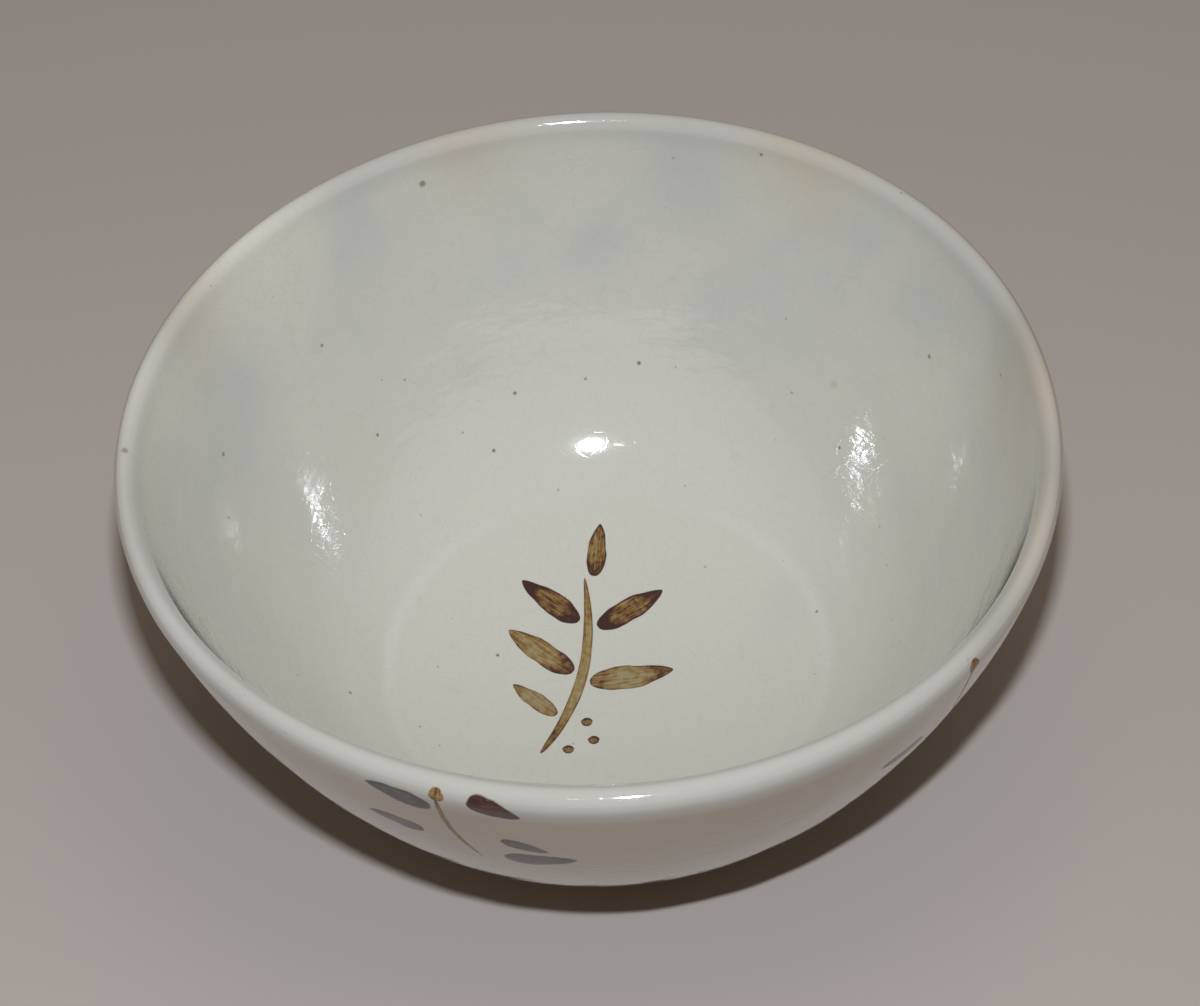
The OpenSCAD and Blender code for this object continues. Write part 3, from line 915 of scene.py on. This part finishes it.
@dataclass
class ThrownPot:
    """The clay body, its foot ring and the glaze over it."""

    section: WallSection = field(default_factory=WallSection)
    marks: HandMarks = field(default_factory=HandMarks)
    foot_d: float = 66.0
    foot_w: float = 5.0
    foot_flare: float = 0.6
    foot_bevel: float = 0.8
    recess_rise: float = 1.0
    glaze_roll: float = 0.35
    roll_rings: float = 2.2
    outer_spacing: float = 0.95
    inner_spacing: float = 0.72
    back_spacings: tuple[float, float] = (3.0, 5.5)
    clay_spacing: float = 2.0
    around: int = 288
    clay_around: int = 192

    def glaze_rings(self) -> np.ndarray:
        """Lays out the coat: up the outside, over the lip, down the inside, and back underneath.

        Returns:
            Rings of points in millimetres.
        """
        section = self.section
        heavy = replace(section, lip_t=section.lip_t + self.marks.front_lip)
        share = self.marks.lip_share(np.arange(self.around) * 2 * math.pi / self.around)[:, None]
        outward, inward = self.outer_spacing, self.inner_spacing
        usual = section.down_outside(0.0, outward), section.down_inside(0.0, inward)
        thick = (heavy.down_outside(0.0, outward, len(usual[0])),
                 heavy.down_inside(0.0, inward, len(usual[1])))
        outer, inner = [spun(a, self.around) * (1 - share) + spun(b, self.around) * share
                        for a, b in zip(usual, thick)]
        outer, inner = outer[::-1], inner[1:]
        outer_relief = self.marks.relief(outer, Side.OUTSIDE, section)
        inner_relief = self.marks.relief(inner, Side.INSIDE, section)
        rings = np.concatenate([outer, inner])
        relief = np.concatenate([outer_relief, inner_relief])
        edge = np.arange(len(rings))
        relief += (self.glaze_roll * np.exp(-(edge / self.roll_rings) ** 2))[:, None]
        face = rings + relief[..., None] * self.normals(rings)
        inward, outward = self.back_spacings
        back_in = section.down_inside(section.glaze_t, inward)
        back_out = section.down_outside(section.glaze_t, outward)
        back = spun(np.concatenate([back_in[::-1], back_out[1:]]), self.around)
        return self.marks.shape(np.concatenate([face, back]), section)

    def mark_centre(self, mark: GlazeMark) -> Vector:
        """Finds the point of the inside that a mark is centred on.

        Args:
            mark: the cloud, spot or patch of painted light or shade.

        Returns:
            The point in metres.
        """
        line = self.section.down_inside(0.0, 0.5)[::-1]
        level = float(np.interp(mark.out, line[:, 0], line[:, 1]))
        point = np.array([[*(mark.out * ray(mark.bearing)), level]])
        return Vector(self.marks.shape(point, self.section)[0]) * MM

    @staticmethod
    def normals(rings: np.ndarray) -> np.ndarray:
        """Finds the outward direction at each point of true rings.

        Args:
            rings: rings that run up the outside and down the inside.

        Returns:
            Unit vectors.
        """
        line = np.stack([np.hypot(rings[:, 0, 0], rings[:, 0, 1]), rings[:, 0, 2]], axis=1)
        run = np.gradient(line, axis=0)
        run /= np.linalg.norm(run, axis=1, keepdims=True)
        turn = np.arctan2(rings[0, :, 1], rings[0, :, 0])
        flat = np.stack([np.cos(turn), np.sin(turn)], axis=1)
        up = np.broadcast_to(-run[:, 0, None, None], (*rings.shape[:2], 1))
        return np.concatenate([run[:, 1, None, None] * flat, up], axis=2)

    def clay_line(self) -> np.ndarray:
        """Gives the half section of the clay, with the pared hollow under the floor.

        Returns:
            A line from the middle of the floor, round the lip, to the middle underneath.
        """
        section = self.section
        inside = section.down_inside(section.glaze_t, self.clay_spacing)[::-1]
        outside = section.down_outside(section.glaze_t, self.clay_spacing)[1:]
        band = section.bare_band.points(0.0, 6)[1:]
        recess_a = self.foot_d / 2 - self.foot_w - self.foot_flare
        radii = np.linspace(recess_a, 0, 14)
        hollow = section.foot_h + self.recess_rise * (1 - (radii / recess_a) ** 2)
        return np.concatenate([inside, outside, band, np.stack([radii, hollow], axis=1)])

    def foot_line(self) -> np.ndarray:
        """Gives the half section of the foot ring, with its worn edges.

        Returns:
            A closed line.
        """
        out_r = self.foot_d / 2
        in_r = out_r - self.foot_w
        top = self.section.foot_h
        bevel = self.foot_bevel
        corners = np.array([
            [in_r - self.foot_flare, top], [in_r, bevel], [in_r + 0.3 * bevel, 0.25 * bevel],
            [in_r + bevel, 0.0], [out_r - bevel, 0.0], [out_r - 0.3 * bevel, 0.25 * bevel],
            [out_r, bevel], [out_r + self.foot_flare, top]])
        return softened(evenly(corners, 0.3), 3)

    def build(self, glaze: IvoryGlaze, clay: BareStoneware) -> bpy.types.Object:
        """Makes the clay, the foot and the coat, and dresses them.

        Args:
            glaze: the finish of the coat.
            clay: the finish of the bare clay.

        Returns:
            The coat, which the brush strokes lie on.
        """
        bare = clay.material()
        clay_rings = self.marks.shape(spun(self.clay_line()[::-1], self.clay_around), self.section)
        body = ring_mesh("stoneware_body", clay_rings, False)
        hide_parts("clay_bowl")
        foot_rings = spun(self.foot_line()[::-1], self.clay_around)
        foot_rings[..., 2] = np.maximum(foot_rings[..., 2], 0.0)
        foot = ring_mesh("foot_ring_trimmed", foot_rings, True)
        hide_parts("foot_ring")
        coat = ring_mesh("ivory_glaze_coat", self.glaze_rings(), True)
        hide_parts("inner_glaze", "outer_glaze")
        gloss = glaze.material([(mark, self.mark_centre(mark)) for mark in GLAZE_MARKS_AND_PAINTED_LIGHT])
        for piece, finish, slot in ((body, bare, "bare_stoneware"), (foot, bare, "bare_stoneware"),
                                    (coat, gloss, "ivory_glaze")):
            piece.data.materials.append(finish)
            LOG.info("%s: %d faces", piece.name, len(piece.data.polygons))
        return coat


# Brush strokes

@dataclass(frozen=True)
class Stroke:
    """One touch of the brush, laid flat along +Y from its start and bowed towards +X.

    The load is the share of pigment from 0, a thin wash, to 1, a pool.
    """

    start: tuple[float, float]
    turn: float
    length: float
    width: float
    bow: float = 0.0
    fullness: float = 0.75
    load: float = 0.4
    start_pool: float = 0.0
    end_pool: float = 0.0
    seed: int = 1
    blunt: float = 0.6
    pool_reach: float = 0.24
    streak_l: float = 4.0
    streak_w: float = 0.28

    def lay(self, along: int = 60, across: int = 15) -> tuple[np.ndarray, np.ndarray, np.ndarray]:
        """Lays the stroke out flat.

        Args:
            along: steps along the stroke.
            across: points across it, an odd number.

        Returns:
            Flat points in millimetres. For each, its distance from the edge in millimetres, its load
            and the number of the stroke. For each, its place on the path of the brush, in streaks.
        """
        t = 0.5 - 0.5 * np.cos(np.linspace(0.0, math.pi, along + 1))
        spine = np.stack([4 * self.bow * t * (1 - t), self.length * t], axis=1)
        run = np.gradient(spine, axis=0)
        run /= np.linalg.norm(run, axis=1, keepdims=True)
        beside = np.stack([run[:, 1], -run[:, 0]], axis=1)
        swell = np.sin(math.pi * np.clip(t, 1e-5, 1 - 1e-5) ** self.fullness)
        half = self.width / 2 * swell ** self.blunt
        rng = np.random.default_rng(self.seed)
        share = np.linspace(-1.0, 1.0, across)
        wobble = 1.0 + np.stack([self.shake(t, rng), self.shake(t, rng)], axis=1)
        reach = half[:, None] * share * np.where(share < 0, wobble[:, :1], wobble[:, 1:])
        flat = spine[:, None, :] + reach[..., None] * beside[:, None, :]
        from_start = np.broadcast_to(t[:, None] * self.length, reach.shape)
        from_end = self.length - from_start
        edge = np.minimum(half[:, None] * (1 - np.abs(share)), np.minimum(from_start, from_end))
        # A pool runs further along the edges of the stroke than down its middle
        inner = 0.55 + 1.6 * edge / self.width
        load = self.load + np.zeros(reach.shape)
        for pool, run_in in ((self.start_pool, from_start), (self.end_pool, from_end)):
            load += pool * np.exp(-(run_in * inner / (self.pool_reach * self.length)) ** 4)
        facts = np.stack([edge, load, np.full(reach.shape, self.seed)], axis=2)
        own = np.full(reach.shape, 3.7 * self.seed)
        path = np.stack([from_start / self.streak_l, reach / self.streak_w, own], axis=2)
        angle = math.radians(self.turn)
        spin = np.array([[math.cos(angle), math.sin(angle)], [-math.sin(angle), math.cos(angle)]])
        return flat @ spin + np.array(self.start), facts, path

    @staticmethod
    def shake(t: np.ndarray, rng: np.random.Generator) -> np.ndarray:
        """Gives the unsteadiness of a hand along the stroke."""
        phases = rng.uniform(0, 2 * math.pi, 3)
        waves = zip((0.06, 0.03, 0.012), (1.3, 2.7, 5.1), phases)
        return sum(size * np.sin(2 * math.pi * turns * t + phase) for size, turns, phase in waves)


@dataclass
class PaintedSprig:
    """Brush strokes that are laid on the glaze, seen straight on from above or from outside."""

    coat: bpy.types.Object
    section: WallSection
    marks: HandMarks
    tree: BVHTree = field(init=False)
    film: float = 0.03
    from_above: float = 79.0
    from_outside: float = 200.0

    def __post_init__(self) -> None:
        """Makes the coat ready to be painted on."""
        mesh = self.coat.data
        points = [v.co.copy() for v in mesh.vertices]
        self.tree = BVHTree.FromPolygons(points, [tuple(p.vertices) for p in mesh.polygons])

    def touch(self, origin: Vector, direction: Vector) -> Vector:
        """Finds where the brush meets the glaze.

        Args:
            origin: where it comes from, in metres.
            direction: the way it goes.

        Returns:
            A point just above the glaze, in metres.
        """
        hit, normal, _, _ = self.tree.ray_cast(origin, direction)
        return hit + normal * self.film * MM

    def paint(self, name: str, strokes: list[tuple[Stroke, Side, float]], drop: float) -> bpy.types.Object:
        """Makes one piece from several strokes.

        Args:
            name: the piece's name.
            strokes: each stroke with its side, and for the outside its bearing in degrees.
            drop: how far below the lip the outside strokes have their origin.

        Returns:
            The new piece, which carries its facts as the attributes stroke and path.
        """
        points: list[Vector] = []
        facts: list[np.ndarray] = []
        paths: list[np.ndarray] = []
        faces: list[tuple[int, ...]] = []
        for stroke, side, bearing in strokes:
            flat, told, path = stroke.lay()
            first = len(points)
            rows, columns = flat.shape[:2]
            out = Vector((*ray(bearing), 0.0))
            sideways = Vector((-out.y, out.x, 0.0))
            for u, v in flat.reshape(-1, 2):
                if side is Side.INSIDE:
                    origin = Vector((u * MM, v * MM, self.from_above * MM))
                    points.append(self.touch(origin, Vector((0, 0, -1))))
                else:
                    rise = 1 + (v - drop) / (self.section.height - self.section.foot_h)
                    level = self.section.height - drop + v + self.marks.lift(rise, math.radians(bearing))
                    origin = out * (self.from_outside * MM) + sideways * float(u) * MM
                    origin.z = level * MM
                    points.append(self.touch(origin, -out))
            facts.append(told.reshape(-1, 3))
            paths.append(path.reshape(-1, 3))
            for i in range(rows - 1):
                for j in range(columns - 1):
                    a = first + i * columns + j
                    faces.append((a, a + 1, a + columns + 1, a + columns))
        piece = mesh_object(name, np.array([p[:] for p in points]) / MM, faces)
        for label, values in (("stroke", facts), ("path", paths)):
            attribute = piece.data.attributes.new(label, "FLOAT_VECTOR", "POINT")
            attribute.data.foreach_set("vector", np.concatenate(values).astype(np.float32).ravel())
        LOG.info("%s: %d strokes", name, len(strokes))
        return piece


def beside_stem(length: float, bow: float, place: float, away: float) -> tuple[np.ndarray, float]:
    """Finds a point beside a bowed stem.

    Args:
        length: chord of the stem, along +Y.
        bow: how far it bows towards +X.
        place: place along it, from 0 to 1.
        away: distance to its +X side, or to the other if negative.

    Returns:
        The point, and the angle of the stem's own sideways direction in degrees.
    """
    radius = (length * length / 4 + bow * bow) / (2 * bow)
    angle = (2 * place - 1) * math.degrees(math.asin(length / 2 / radius))
    return np.array([bow - radius, length / 2]) + (radius + away) * ray(angle), angle


@dataclass(frozen=True)
class LeafPlace:
    """Where a leaf stands on its stem, and how heavily it was brushed."""

    place: float
    side: int
    lift: float
    size: float = 1.0
    away: float = 0.0
    load: float = 0.4
    start_pool: float = 0.2
    end_pool: float = 0.2


@dataclass
class Sprig:
    """A stem with leaves, in the same places as its solids."""

    start: tuple[float, float]
    turn: float
    stem_l: float
    stem_bow: float
    stem_w: float
    leaf_l: float
    leaf_w: float
    stroke_gap: float = 0.6

    def placed(self, point: np.ndarray) -> tuple[float, float]:
        """Moves a point of the upright sprig to where it is painted."""
        angle = math.radians(self.turn)
        x = point[0] * math.cos(angle) - point[1] * math.sin(angle) + self.start[0]
        y = point[0] * math.sin(angle) + point[1] * math.cos(angle) + self.start[1]
        return x, y

    def stem(self, load: float, start_pool: float, end_pool: float) -> Stroke:
        """Gives the stroke of the stem."""
        return Stroke(self.start, self.turn, self.stem_l, self.stem_w, bow=self.stem_bow, fullness=0.9,
                      load=load, start_pool=start_pool, end_pool=end_pool, seed=3, blunt=0.4)

    def leaf(self, leaf: LeafPlace, seed: int, length: float | None = None,
             width: float | None = None) -> Stroke:
        """Gives the stroke of one leaf.

        Args:
            leaf: its place on the stem.
            seed: picks the shake of the hand.
            length: its full length, if it isn't the usual one.
            width: its full width, if it isn't the usual one.

        Returns:
            The stroke.
        """
        full_w = width or self.leaf_w
        away = leaf.side * (self.stem_w / 2 + self.stroke_gap + leaf.away * full_w)
        point, angle = beside_stem(self.stem_l, self.stem_bow, leaf.place, away)
        turn = angle + (leaf.lift if leaf.side > 0 else 180 - leaf.lift) - 90
        return Stroke(self.placed(point), self.turn + turn, (length or self.leaf_l) * leaf.size,
                      full_w * leaf.size, load=leaf.load, start_pool=leaf.start_pool,
                      end_pool=leaf.end_pool, seed=seed)

    def berry(self, place: float, away: float, width: float) -> Stroke:
        """Gives the dot of one berry.

        Args:
            place: place along the stem.
            away: distance from it in berry widths.
            width: width of the berry.

        Returns:
            The stroke.
        """
        point, _ = beside_stem(self.stem_l, self.stem_bow, place, away * width)
        below = point - np.array([0.0, width / 2])
        return Stroke(self.placed(below), self.turn, width, width, fullness=1.0, load=0.4, end_pool=0.4,
                      seed=7, blunt=0.5)


WELL_LEAVES = (
    LeafPlace(0.24, -1, 20, 0.75, 0, 0.14, 0.20, 0.10), LeafPlace(0.46, 1, 20, 1.1, 0, 0.17, 0.18, 0.34),
    LeafPlace(0.50, -1, 26, 1.05, 0, 0.24, 0.34, 0.12), LeafPlace(0.75, 1, 32, 1.0, 0, 0.42, 0.55, 0.36),
    LeafPlace(0.78, -1, 38, 0.95, 0, 0.44, 0.40, 0.55), LeafPlace(1.0, 1, 74, 0.75, 0, 0.34, 0.34, 0.16))
WELL_BERRIES = ((0.08, 1.7), (0.17, 3.1), (0.25, 1.8))
WALL_BEARINGS = (249.0, 317.0)
GREY_LEAVES = (
    (LeafPlace(0.22, 1, -14, 1.05, 0, 0.62), LeafPlace(0.63, 1, -17, 0.9, 0.9, 0.42),
     LeafPlace(0.6, -1, 40, 0.75, 1.2, 0.40), LeafPlace(0.95, -1, 14, 1.1, 0.6, 0.50)),
    (LeafPlace(0.63, 1, -17, 0.9, 1.1, 0.35),))
BROWN_LEAF = LeafPlace(0.03, -1, 18, 1.0, 0.8, 0.6, 0.2, 0.2)


@dataclass
class Painting:
    """All the brushwork: one sprig in the well and two on the outer wall."""

    coat: bpy.types.Object
    pot: ThrownPot
    berry_d: float = 2.2
    wall_stem_drop: float = 0.8
    wall_sprig_turn: float = 8.0
    wall_dab_d: float = 2.8
    brown_leaf_l: float = 9.0
    brown_leaf_w: float = 4.8

    def build(self, glaze: IvoryGlaze) -> None:
        """Paints every stroke and dresses it.

        Args:
            glaze: the glaze whose gloss the pigments share.
        """
        well = Sprig(start=(-13.0, -16.0), turn=-14.0, stem_l=41.0, stem_bow=3.5, stem_w=2.2, leaf_l=14.0,
                     leaf_w=5.0)
        wall = Sprig(start=(0.0, 0.0), turn=180.0 + self.wall_sprig_turn, stem_l=26.0, stem_bow=1.4,
                     stem_w=1.2, leaf_l=11.0, leaf_w=5.4)
        inside, outside = Side.INSIDE, Side.OUTSIDE
        leaves = [(well.leaf(leaf, 30 + i), inside, 0.0) for i, leaf in enumerate(WELL_LEAVES)]
        berries = [(well.berry(*place, self.berry_d), inside, 0.0) for place in WELL_BERRIES]
        dab = Stroke((0.0, -self.wall_dab_d), 0.0, self.wall_dab_d, self.wall_dab_d, fullness=1.0,
                     load=0.35, start_pool=0.1, end_pool=0.1, seed=9, blunt=0.5)
        stems = [(stroke, outside, bearing) for bearing in WALL_BEARINGS
                 for stroke in (wall.stem(0.30, 0.3, 0.1), dab)]
        grey = [(wall.leaf(leaf, 50 + i), outside, bearing)
                for bearing, places in zip(WALL_BEARINGS, GREY_LEAVES) for i, leaf in enumerate(places)]
        brown = [(wall.leaf(BROWN_LEAF, 60, self.brown_leaf_l, self.brown_leaf_w), outside,
                  WALL_BEARINGS[0])]
        jobs = (
            ("well_stem_stroke", [(well.stem(0.22, 0.30, 0.15), inside, 0.0)], "well_stem", IRON_WASH,
             "iron_wash"),
            ("well_leaf_strokes", leaves, "well_leaves", IRON_BROWN, "iron_brown"),
            ("well_berry_dots", berries, "well_berries", IRON_BROWN, "iron_brown"),
            ("wall_stem_strokes", stems, "wall_stems", AMBER_WASH, "iron_wash"),
            ("grey_leaf_strokes", grey, "grey_leaves", COBALT_GREY, "cobalt_grey"),
            ("brown_leaf_stroke", brown, "brown_leaf", RED_IRON, "iron_brown"))
        brush = PaintedSprig(self.coat, self.pot.section, self.pot.marks)
        finishes: dict[str, bpy.types.Material] = {}
        for name, strokes, node, pigment, slot in jobs:
            piece = brush.paint(name, strokes, self.wall_stem_drop)
            if pigment.name not in finishes:
                finishes[pigment.name] = pigment.material(glaze)
            piece.data.materials.append(finishes[pigment.name])
            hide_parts(node)


# Studio

@dataclass(frozen=True)
class PhotoCamera:
    """A long lens that looks down into the bowl, held slightly out of level."""

    distance: float = 674.5
    elevation: float = 47.5
    roll: float = -3.96
    lens: float = 120.0
    sensor: float = 36.0
    aim_px: tuple[float, float] = (587.9, 433.2)

    def build(self, target: Vector) -> tuple[bpy.types.Object, Vector]:
        """Makes the camera, with the target at its pixel of the picture.

        Args:
            target: the middle of the lip, in metres.

        Returns:
            The camera, and the direction that is up in the picture.
        """
        pitch = math.radians(self.elevation)
        back = Vector((0.0, -math.cos(pitch), math.sin(pitch)))
        forward = -back
        right = Vector((1.0, 0.0, 0.0))
        up = right.cross(forward)
        tilt = Matrix.Rotation(-math.radians(self.roll), 3, forward)
        right, up = tilt @ right, tilt @ up
        focal = self.lens / self.sensor * PHOTO_FRAME[0]
        aside = (self.aim_px[0] - PHOTO_FRAME[0] / 2) / focal
        above = (PHOTO_FRAME[1] / 2 - self.aim_px[1]) / focal
        swing = math.atan(aside)
        right, forward = (right * math.cos(swing) + forward * math.sin(swing),
                          forward * math.cos(swing) - right * math.sin(swing))
        nod = math.atan2(above, math.hypot(1.0, aside))
        up, forward = (up * math.cos(nod) + forward * math.sin(nod),
                       forward * math.cos(nod) - up * math.sin(nod))
        data = bpy.data.cameras.new("photo_camera")
        data.lens = self.lens
        data.sensor_width = self.sensor
        data.clip_start = 0.01
        camera = bpy.data.objects.new("photo_camera", data)
        bpy.context.scene.collection.objects.link(camera)
        turn = Matrix((right, up, -forward)).transposed().to_4x4()
        camera.matrix_world = Matrix.Translation(target + back * self.distance * MM) @ turn
        bpy.context.scene.camera = camera
        return camera, up


@dataclass
class Studio:
    """The pale floor, the lamps and the soft light all round."""

    floor_colour: str = "a7a19c"
    backdrop: str = "bdb8b2"
    floor_r: float = 3000.0
    key_rise: float = 80.0
    key_side: float = -2.0
    key_size: tuple[float, float] = (28.0, 10.0)
    key_power: float = 4.7
    key_aim: tuple[float, float, float] = (-170.0, 60.0, 0.0)
    key_colour: str = "f3f7ff"
    glow_side: float = -100.0
    glow_power: float = 0.02
    glow_colour: str = "ffd9c4"
    fill_place: tuple[float, float, float] = (150.0, -100.0, 1500.0)
    fill_size: tuple[float, float] = (900.0, 900.0)
    fill_power: float = 3.0
    fill_colour: str = "fff2e4"
    room_level: float = 0.18
    room_colour: str = "ffe9d2"

    def floor(self) -> None:
        """Lays the plain floor."""
        corners = [(x * self.floor_r * MM, y * self.floor_r * MM, 0.0)
                   for x, y in ((-1, -1), (1, -1), (1, 1), (-1, 1))]
        mesh = bpy.data.meshes.new("floor")
        mesh.from_pydata(corners, [], [(0, 1, 2, 3)])
        floor = bpy.data.objects.new("floor", mesh)
        bpy.context.scene.collection.objects.link(floor)
        material, tree = new_material("plain_floor")
        shader = add_node(tree, "ShaderNodeBsdfPrincipled",
                          {"Base Color": linear(self.floor_colour), "Roughness": 0.95,
                           "Specular IOR Level": 0.1})
        add_node(tree, "ShaderNodeOutputMaterial", {"Surface": shader.outputs[0]})
        mesh.materials.append(material)

    def lamp(self, name: str, place: Vector, target: Vector, size: tuple[float, float],
             power: float, colour: str, mirrored: bool = True) -> None:
        """Hangs an oblong lamp that faces a target.

        Args:
            name: the lamp's name.
            place: where it hangs, in metres.
            target: what it faces, in metres.
            size: its width and height in millimetres.
            power: its power in watts.
            colour: its colour.
            mirrored: whether it shows in glossy surfaces.
        """
        data = bpy.data.lights.new(name, "AREA")
        data.shape = "RECTANGLE"
        data.size = size[0] * MM
        data.size_y = size[1] * MM
        data.energy = power
        data.color = linear(colour)[:3]
        lamp = bpy.data.objects.new(name, data)
        bpy.context.scene.collection.objects.link(lamp)
        lamp.location = place
        lamp.rotation_mode = "QUATERNION"
        lamp.rotation_quaternion = (target - place).to_track_quat("-Z", "Y")
        lamp.visible_glossy = mirrored

    def world(self) -> None:
        """Lights the room softly, with a pale backdrop for the camera and for reflections."""
        world = bpy.data.worlds.new("studio")
        bpy.context.scene.world = world
        world.use_nodes = True
        tree = world.node_tree
        tree.nodes.clear()
        path = add_node(tree, "ShaderNodeLightPath")
        seen = add_node(tree, "ShaderNodeMath", {0: path.outputs["Is Camera Ray"],
                                                 1: path.outputs["Is Glossy Ray"]}, operation="MAXIMUM")
        shown = add_node(tree, "ShaderNodeMath", {0: seen.outputs[0],
                                                  1: path.outputs["Is Transmission Ray"]},
                         operation="MAXIMUM")
        soft = add_node(tree, "ShaderNodeBackground",
                        {"Color": linear(self.room_colour), "Strength": self.room_level})
        pale = add_node(tree, "ShaderNodeBackground", {"Color": linear(self.backdrop), "Strength": 1.0})
        mix = add_node(tree, "ShaderNodeMixShader", {0: shown.outputs[0], 1: soft.outputs[0],
                                                     2: pale.outputs[0]})
        add_node(tree, "ShaderNodeOutputWorld", {"Surface": mix.outputs[0]})

    def build(self, camera: bpy.types.Object, up: Vector, target: Vector) -> None:
        """Sets up the floor, the lamps and the room.

        Args:
            camera: the camera that the main lamp sits above.
            up: the direction that is up in the picture.
            target: the middle of the lip.
        """
        self.floor()
        across = camera.matrix_world.col[0].to_3d()
        place = camera.location + (up * self.key_rise + across * self.key_side) * MM
        aim = target + Vector(self.key_aim) * MM
        self.lamp("lamp_over_lens", place, aim, self.key_size, self.key_power, self.key_colour)
        beside = camera.location + (up * self.key_rise + across * self.glow_side) * MM
        self.lamp("warm_beside_lens", beside, target, self.key_size, self.glow_power, self.glow_colour)
        self.lamp("soft_overhead", Vector(self.fill_place) * MM, target, self.fill_size, self.fill_power,
                  self.fill_colour, mirrored=False)
        self.world()
        bpy.context.scene.view_settings.view_transform = "Standard"


def main() -> None:
    """Builds the pot, its painting and the studio."""
    logging.basicConfig(level=logging.INFO, format="%(name)s: %(message)s")
    glaze = IvoryGlaze()
    pot = ThrownPot()
    coat = pot.build(glaze, BareStoneware())
    Painting(coat, pot).build(glaze)
    lift = pot.section.height - pot.section.foot_h
    middle = Vector((pot.marks.lean[0] * lift, pot.marks.lean[1] * lift, pot.section.height)) * MM
    camera, up = PhotoCamera().build(middle)
    Studio().build(camera, up, middle)
    bpy.context.view_layer.update()


if __name__ == "__main__":
    main()
